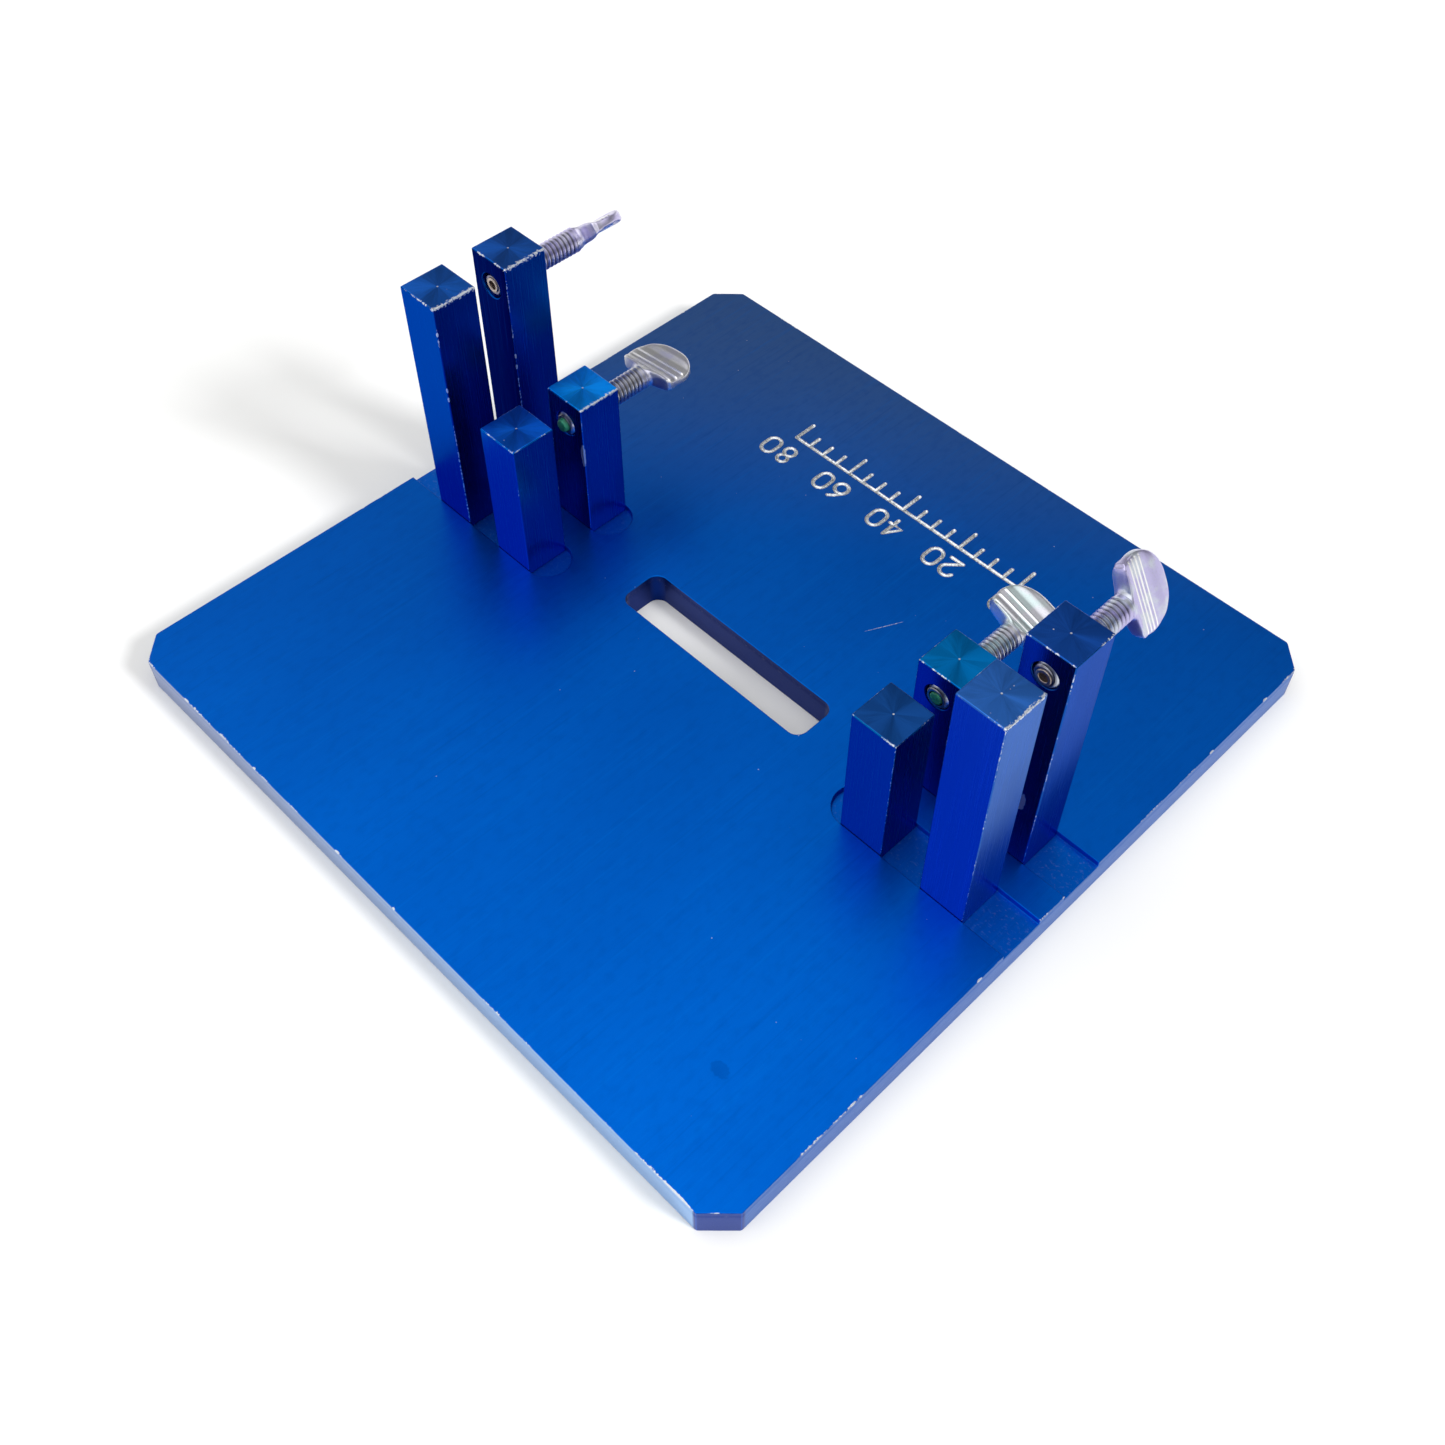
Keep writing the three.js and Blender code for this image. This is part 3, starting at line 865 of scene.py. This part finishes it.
def post_bolt(place, row, material):
    box = BOLTS[place, row]
    name = f"{place}_{row}_post_bolt"
    head = box.size.x / 2
    shank = BOLT_SHANK / 2
    slope = math.tan(math.radians(COUNTERSINK_ANGLE / 2))
    cone = (head - shank) / slope
    length = box.size.z
    profile = [
        (head - 0.25, 0),
        (head, 0.12),
        (head, 0.3),
        (shank, cone + 0.3),
        (shank, length - 0.5),
        (shank - 0.5, length),
    ]
    stand = upright(box.middle.x, box.middle.y, box.low.z)
    bolt = turned(f"{name}_finish", profile, stand, 56, material)
    across = BOLT_HEX / math.sqrt(3)
    hexagon = [(box.middle.x + px, box.middle.y + py) for px, py in arc((0, 0), across, 0, 300, 5)]
    cut(bolt, prism("hex_cutter", hexagon, -2, box.low.z + BOLT_HEX_DEPTH))
    smooth(bolt, 30)
    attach(bolt, "root")
    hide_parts(name)
    return bolt


# ---- thumb screws

def thread_radius(phase, crest, root):
    """Radius of a sixty degree thread at a phase of nought to one along one pitch."""
    flat_root = 0.14
    flat_crest = 0.14
    flank = (1 - flat_root - flat_crest) / 2
    if phase < flat_root:
        return root
    if phase < flat_root + flank:
        return root + (crest - root) * (phase - flat_root) / flank
    if phase < flat_root + flank + flat_crest:
        return crest
    return crest - (crest - root) * (phase - flat_root - flank - flat_crest) / flank


def threaded_shank(bm, length, steps=56):
    """A helical thread about +Y from the origin, cut square at both ends, left open."""
    crest = THREAD_DIAMETER / 2
    root = crest - THREAD_DEPTH
    phases = (0.0, 0.14, 0.32, 0.5, 0.64, 0.82)
    turns = math.ceil(length / THREAD_PITCH) + 2
    rows = []
    for turn in range(-1, turns):
        for phase in phases:
            row = []
            for i, (c, s) in enumerate(circle(steps)):
                height = (turn + phase + i / steps) * THREAD_PITCH
                lead_in = crest - LEAD_IN + max(height, 0)
                radius = min(thread_radius(phase, crest, root), max(lead_in, root - 0.05))
                row.append(bm.verts.new((radius * c, height, radius * s)))
            rows.append(row)
    for r, (one, two) in enumerate(zip(rows, rows[1:])):
        for i in range(steps - 1):
            bm.faces.new((one[i], one[i + 1], two[i + 1], two[i]))
        last = r + len(phases)
        if last + 1 < len(rows):
            bm.faces.new((one[-1], rows[last][0], rows[last + 1][0], two[-1]))
    for height, side in ((0, -1), (length, 1)):
        bmesh.ops.bisect_plane(
            bm,
            geom=bm.verts[:] + bm.edges[:] + bm.faces[:],
            dist=1e-5,
            plane_co=(0, height, 0),
            plane_no=(0, side, 0),
            clear_outer=True,
        )


def open_edges(bm, height):
    """The free edges that lie at a height along the screw."""
    return [
        edge for edge in bm.edges
        if edge.is_boundary and all(abs(v.co.y - height) < 1e-3 for v in edge.verts)
    ]


def close_ends(bm, length, seat, depth, steps=56):
    """Caps the head end, and gives the tip end a ring with a blind seat in it."""
    bmesh.ops.triangle_fill(bm, edges=open_edges(bm, length), use_beauty=True)
    outer = open_edges(bm, 0)
    rings = []
    for radius, height in ((seat, 0), (seat, depth)):
        rings.append([bm.verts.new((radius * c, height, radius * s)) for c, s in circle(steps)])
    for i in range(steps):
        j = (i + 1) % steps
        bm.faces.new((rings[0][i], rings[0][j], rings[1][j], rings[1][i]))
    bm.faces.new(rings[1])
    inner = [edge for edge in bm.edges if edge.is_boundary and edge not in outer]
    bmesh.ops.triangle_fill(bm, edges=outer + inner, use_beauty=True)


def curve_through(knots, at):
    """Smooth curve through (position, value) knots, read at a position."""
    if at <= knots[0][0]:
        return knots[0][1]
    for (a, low), (b, high) in zip(knots, knots[1:]):
        if at <= b:
            share = (at - a) / (b - a)
            share = share * share * (3 - 2 * share)
            return low + (high - low) * share
    return knots[-1][1]


def spade_half_width(height):
    """Half width of the spade at a height above its root: neck, square shoulder, half ellipse."""
    half = HEAD_WIDTH / 2
    widest = HEAD_LENGTH * 0.42
    if height < widest:
        neck = [(0, 3.0), (0.4, 3.4), (1.5, half * 0.88), (2.2, half * 0.96), (widest, half)]
        return curve_through(neck, height)
    share = (height - widest) / (HEAD_LENGTH - widest)
    return half * math.sqrt(max(1 - share * share, 0))


def spade_half_thickness(height, ribs):
    """Half thickness of the spade, and how far its ribs stand out at this height."""
    body = [(0, 2.9), (1.1, 2.35), (2.4, 1.5), (3.8, 1.2), (8.2, 1.2), (10.6, 1.68), (13.2, 1.7)]
    thick = curve_through(body, height)
    left = HEAD_LENGTH - height
    if left < 1.6:
        thick *= math.sqrt(max(1 - (1 - left / 1.6) ** 2, 0))
    rib = 0.0
    for i in range(ribs["count"]):
        away = abs(height - ribs["first"] - i * ribs["pitch"])
        rib = max(rib, RIB_HEIGHT * (1 - min(away / ribs["half_width"], 1)))
    return thick, rib


def spade(bm, ribs, around=64):
    """Lofts the head from its round neck to its rim, with ribs across both faces."""
    heights = [-1.5, -0.7, 0]
    while heights[-1] < HEAD_LENGTH - 1.2:
        heights.append(heights[-1] + 0.13)
    last = heights[-1]
    for i in range(1, 15):
        turn = math.pi / 2 * i / 15
        heights.append(last + (HEAD_LENGTH - last) * math.sin(turn))
    rings = []
    raised = []
    for height in heights:
        wide = spade_half_width(height)
        thick, rib = spade_half_thickness(height, ribs)
        raised.append(rib > 0)
        power = curve_through([(0, 2.0), (2.6, 7), (9, 6), (HEAD_LENGTH, 3)], height)
        ring = []
        for c, s in circle(around):
            across = math.copysign(abs(c) ** (2 / power), c)
            out = math.copysign(abs(s) ** (2 / power), s)
            flat = 1 - curve_through([(0.9, 0), (0.98, 1)], abs(across))
            z = thick * out + math.copysign(rib * flat, out)
            ring.append((wide * across, SHANK_LENGTH + height, z))
        rings.append(ring)
    made = loft(bm, rings)
    for near, far, one, two in zip(made, made[1:], raised, raised[1:]):
        if one and two:
            band = set(near) | set(far)
            for face in {face for vertex in near for face in vertex.link_faces}:
                on_face = abs(face.calc_center_median().x) < HEAD_WIDTH * 0.47
                if on_face and band.issuperset(face.verts):
                    face.material_index = 1


def shank_and_head(name, ribs, seat, depth, *materials):
    """A thumb screw along +Y from the origin, in millimetres, its spade's width along X."""
    shank = bmesh.new()
    length = SHANK_LENGTH - HEAD_OVERLAP
    threaded_shank(shank, length)
    close_ends(shank, length, seat, depth)
    screw = link(name, mesh_from(name, shank), *materials)
    head = bmesh.new()
    spade(head, ribs)
    tool = link("spade", mesh_from("spade", head), *materials)
    union = screw.modifiers.new("union", "BOOLEAN")
    union.operation = "UNION"
    union.solver = "EXACT"
    union.object = tool
    applied(screw)
    bpy.data.objects.remove(tool)
    return screw


def thumb_screw(place, material, rib_look):
    tip = TIP_BOXES[place]
    shape = SCREW_LOOKS[place]
    end = SCREW_END[place]
    seat = tip.size.x / 2 + SEAT_CLEARANCE
    name = f"{place}_thumb_screw"
    depth = tip.high.y - end + 0.1
    screw = shank_and_head(f"{name}_finish", shape["ribs"], seat, depth, material, rib_look)
    turn = Matrix.Rotation(-math.radians(shape["roll"]), 4, "Y")
    shift = Matrix.Translation(Vector((tip.middle.x, end, tip.middle.z)) * MM)
    screw.data.transform(shift @ turn @ Matrix.Scale(MM, 4))
    smooth(screw, 38)
    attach(screw, f"{place}_screw")
    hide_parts(name)
    return screw


def tip_piece(place, material):
    """A sleeve with a rolled lip round its bore, or a pad with a worn, slightly domed face."""
    kind = TIPS[place]
    box = TIP_BOXES[place]
    radius = box.size.x / 2
    length = box.size.y
    name = f"{place}_tip_{kind}"
    if kind == "sleeve":
        bore = 1.2
        lip = 0.16
        profile = [(radius - 0.1, length), (radius, length - 0.15)]
        profile += [(radius - lip + c, lip - s) for c, s in arc((0, 0), lip, 0, 90, 4)]
        profile += [(bore + lip - s, lip - c) for c, s in arc((0, 0), lip, 0, 90, 4)]
        profile += [(bore, 2.0), (bore * 0.4, 2.4)]
    else:
        rim = 0.35
        face = radius - PAD_TAPER
        profile = [(radius - 0.1, length), (radius, length - 0.15), (radius, length * 0.4)]
        profile += [(face - rim + c, rim + 0.06 - s) for c, s in arc((0, 0), rim, 0, 90, 5)]
        profile += [(face * 0.6, 0.02), (face * 0.3, 0.0)]
    place_here = backward(box.middle.x, box.low.y, box.middle.z)
    tip = turned(f"{name}_finish", profile, place_here, 56, material)
    if kind == "pad":
        roughen(tip, 0.12, box.low.y + 0.6, pad_seed(place))
    smooth(tip, 40)
    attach(tip, f"{place}_tip")
    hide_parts(name)
    return tip


def pad_seed(place):
    return float(PLACES.index(place) * 17 + 3)


def roughen(piece, amount, front, seed):
    """Pushes the vertices in front of a plane in by a smooth random amount, in millimetres."""
    bm = bmesh.new()
    bm.from_mesh(piece.data)
    bmesh.ops.subdivide_edges(bm, edges=bm.edges[:], cuts=1, use_grid_fill=True)
    for vertex in bm.verts:
        if vertex.co.y < front * MM:
            wave = noise.noise(vertex.co / MM * 0.9 + Vector((seed, 0, 0)))
            vertex.co.y += amount * MM * (0.5 + 0.5 * wave)
    bm.to_mesh(piece.data)
    bm.free()


# ---- engraved scale

def stroke(name, points, closed=False):
    """Round-nosed cutter along a line of (x, y) points on the plate's top face."""
    bm = bmesh.new()
    count = len(points)
    sides = 12
    height = DECK + STROKE_LIFT
    rings = []
    for i, point in enumerate(points):
        here = Vector(point)
        before = Vector(points[(i - 1) % count]) if closed or i else here
        after = Vector(points[(i + 1) % count]) if closed or i < count - 1 else here
        along = (after - before).normalized()
        across = Vector((-along.y, along.x))
        ring = []
        for c, s in circle(sides):
            flat = here + across * (STROKE_RADIUS * c)
            ring.append((flat.x, flat.y, height + STROKE_RADIUS * s))
        rings.append(ring)
    if not closed:
        rings = end_caps(rings, points, height)
    rings = [[tuple(c * MM for c in point) for point in ring] for ring in rings]
    made = loft(bm, rings, not closed, not closed)
    if closed:
        for k in range(sides):
            j = (k + 1) % sides
            bm.faces.new((made[-1][k], made[-1][j], made[0][j], made[0][k]))
    return link(name, mesh_from(name, bm))


def end_caps(rings, points, height):
    """Adds half-round ends to a stroke's rings."""
    result = []
    for ring, near, far in ((rings[0], points[0], points[1]), (rings[-1], points[-1], points[-2])):
        middle = Vector((near[0], near[1], height))
        out = (Vector(near) - Vector(far)).normalized().to_3d()
        caps = []
        for turn in (30, 60, 80):
            shrink = math.cos(math.radians(turn))
            move = out * (STROKE_RADIUS * math.sin(math.radians(turn)))
            caps.append([tuple(middle + (Vector(p) - middle) * shrink + move) for p in ring])
        result.append(caps)
    return list(reversed(result[0])) + rings + result[1]


def digit_strokes(digit):
    """Lines of a single-stroke digit in a box one high and 0.62 wide, as (points, closed)."""
    wide = 0.62
    r = wide / 2
    if digit == "0":
        loop = arc((r, 1 - r), r, 0, 180, 8) + arc((r, r), r, 180, 360, 8)
        return [(loop, True)]
    if digit == "2":
        bowl = arc((r, 1 - r), r, 165, -35, 9)
        return [(bowl + [(0.02, 0.0)], False), ([(0.02, 0.0), (wide, 0.0)], False)]
    if digit == "4":
        corner = [(0.44, 1.0), (0.0, 0.32), (wide, 0.32)]
        return [(corner, False), ([(0.44, 1.0), (0.44, 0.0)], False)]
    if digit == "6":
        tail = [(0.5, 1.0), (0.28, 0.82), (0.08, 0.52), (0.0, r)]
        return [(arc((r, r), r, 0, 360, 14)[:-1], True), (tail, False)]
    if digit == "8":
        small = 0.235
        upper = arc((r, 1 - small), small, 0, 360, 12)[:-1]
        lower = arc((r, 0.265), 0.265, 0, 360, 12)[:-1]
        return [(upper, True), (lower, True)]
    raise ValueError(digit)


def scale_cutters():
    """Ticks and numbers of a length scale that is read from the back of the plate."""
    cutters = []
    for i in range(SCALE_TICKS):
        x = SCALE_START - i * SCALE_STEP
        long = i % SCALE_LABEL_EVERY == 0
        length = SCALE_LONG_TICK if long else SCALE_SHORT_TICK
        cutters.append(stroke(f"tick_{i}", [(x, SCALE_LINE), (x, SCALE_LINE + length)]))
        if long:
            text = str(round(i * SCALE_STEP))
            advance = DIGIT_HEIGHT * 0.9
            left = x + (len(text) - 1) * advance / 2 + DIGIT_HEIGHT * 0.31
            for k, digit in enumerate(text):
                start = left - k * advance
                for m, (points, closed) in enumerate(digit_strokes(digit)):
                    placed = [
                        (start - px * DIGIT_HEIGHT, DIGIT_LINE - py * DIGIT_HEIGHT)
                        for px, py in points
                    ]
                    cutters.append(stroke(f"digit_{i}_{k}_{m}", placed, closed))
    ends = [(SCALE_START, SCALE_LINE), (SCALE_START - (SCALE_TICKS - 1) * SCALE_STEP, SCALE_LINE)]
    cutters.append(stroke("scale_line", ends))
    return cutters


# ---- scene

def camera():
    """The photograph's view: a close, slightly wide lens, high over the front corner."""
    azimuth = math.radians(43.67)
    elevation = math.radians(51.75)
    roll = math.radians(1.45)
    target = Vector((15.2, -4.9, DECK)) * MM
    distance = 393.6 * MM
    back = Vector((
        math.sin(azimuth) * math.cos(elevation),
        -math.cos(azimuth) * math.cos(elevation),
        math.sin(elevation),
    ))
    data = bpy.data.cameras.new("camera")
    data.sensor_width = 36
    data.lens = 39.77
    data.shift_x = -0.0216
    data.shift_y = -0.018
    data.clip_start = 0.01
    data.clip_end = 20
    view = bpy.data.objects.new("camera", data)
    bpy.context.scene.collection.objects.link(view)
    view.rotation_mode = "QUATERNION"
    view.location = target + back * distance
    turn = (-back).to_track_quat("-Z", "Y").to_matrix() @ Matrix.Rotation(roll, 3, "Z")
    view.rotation_quaternion = turn.to_quaternion()
    bpy.context.scene.camera = view


def floor():
    n = Nodes("floor_white")
    cloud = n.grain((0.004, 0.004, 0.004), detail=2, seed=20)
    colour = n.mix(cloud, (0.85, 0.85, 0.85), (0.86, 0.86, 0.86))
    material = n.finish(colour, 0.9, metallic=0.0)
    half = 12000
    bm = bmesh.new()
    corners = ((-half, -half), (half, -half), (half, half), (-half, half))
    bm.faces.new([bm.verts.new((x * MM, y * MM, FLOOR_DROP * -MM)) for x, y in corners])
    plane = link("floor", mesh_from("floor", bm), material)


def key_light():
    """A broad light from the right, hidden from reflections, so the metal shows no glare."""
    data = bpy.data.lights.new("key", "SUN")
    data.energy = 2.1
    data.angle = math.radians(13)
    lamp = bpy.data.objects.new("key", data)
    lamp.rotation_mode = "QUATERNION"
    lamp.rotation_quaternion = Vector((-1.1, -0.3, -0.85)).to_track_quat("-Z", "Y")
    lamp.visible_glossy = False
    bpy.context.scene.collection.objects.link(lamp)


def remapped(tree, value, limits):
    """A socket's value taken from one range to another."""
    node = tree.nodes.new("ShaderNodeMapRange")
    for name, limit in zip(("From Min", "From Max", "To Min", "To Max"), limits):
        node.inputs[name].default_value = limit
    tree.links.new(value, node.inputs["Value"])
    return node.outputs["Result"]


def studio():
    """A soft tent of light, brightest overhead and to the front, and a broad key from the right."""
    world = bpy.data.worlds.new("studio")
    world.use_nodes = True
    tree = world.node_tree
    background = tree.nodes["Background"]
    direction = tree.nodes.new("ShaderNodeTexCoord").outputs["Generated"]
    slope = tree.nodes.new("ShaderNodeVectorMath")
    slope.operation = "DOT_PRODUCT"
    tree.links.new(direction, slope.inputs[0])
    slope.inputs[1].default_value = (0, -0.78, 2.2)
    level = remapped(tree, slope.outputs["Value"], (1.0, 2.2, 0.2, 1.6))
    height = tree.nodes.new("ShaderNodeSeparateXYZ")
    tree.links.new(direction, height.inputs[0])
    backdrop = remapped(tree, height.outputs["Z"], (0.08, 0.4, 1.0, 0.0))
    brighter = tree.nodes.new("ShaderNodeMath")
    brighter.operation = "MAXIMUM"
    tree.links.new(level, brighter.inputs[0])
    tree.links.new(backdrop, brighter.inputs[1])
    tree.links.new(brighter.outputs[0], background.inputs["Strength"])
    background.inputs["Color"].default_value = (1.0, 1.0, 0.985, 1)
    bpy.context.scene.world = world
    key_light()
    bpy.context.scene.view_settings.view_transform = "Standard"


camera()
floor()
studio()

plate_look = plate_material()
engraved_look = engraving_material()
base_plate(plate_look, engraved_look)
for place in PLACES:
    for row in ROWS:
        post(place, row)
bolt_look = bolt_material()
for place, row in BOLTS:
    post_bolt(place, row, bolt_look)
rib_look = rib_material()
zinc = {place: zinc_material(place, 30 + i) for i, place in enumerate(PLACES)}
tip_looks = {"pad": pad_material(), "sleeve": sleeve_material()}
for place in PLACES:
    thumb_screw(place, zinc[place], rib_look)
    tip_piece(place, tip_looks[TIPS[place]])
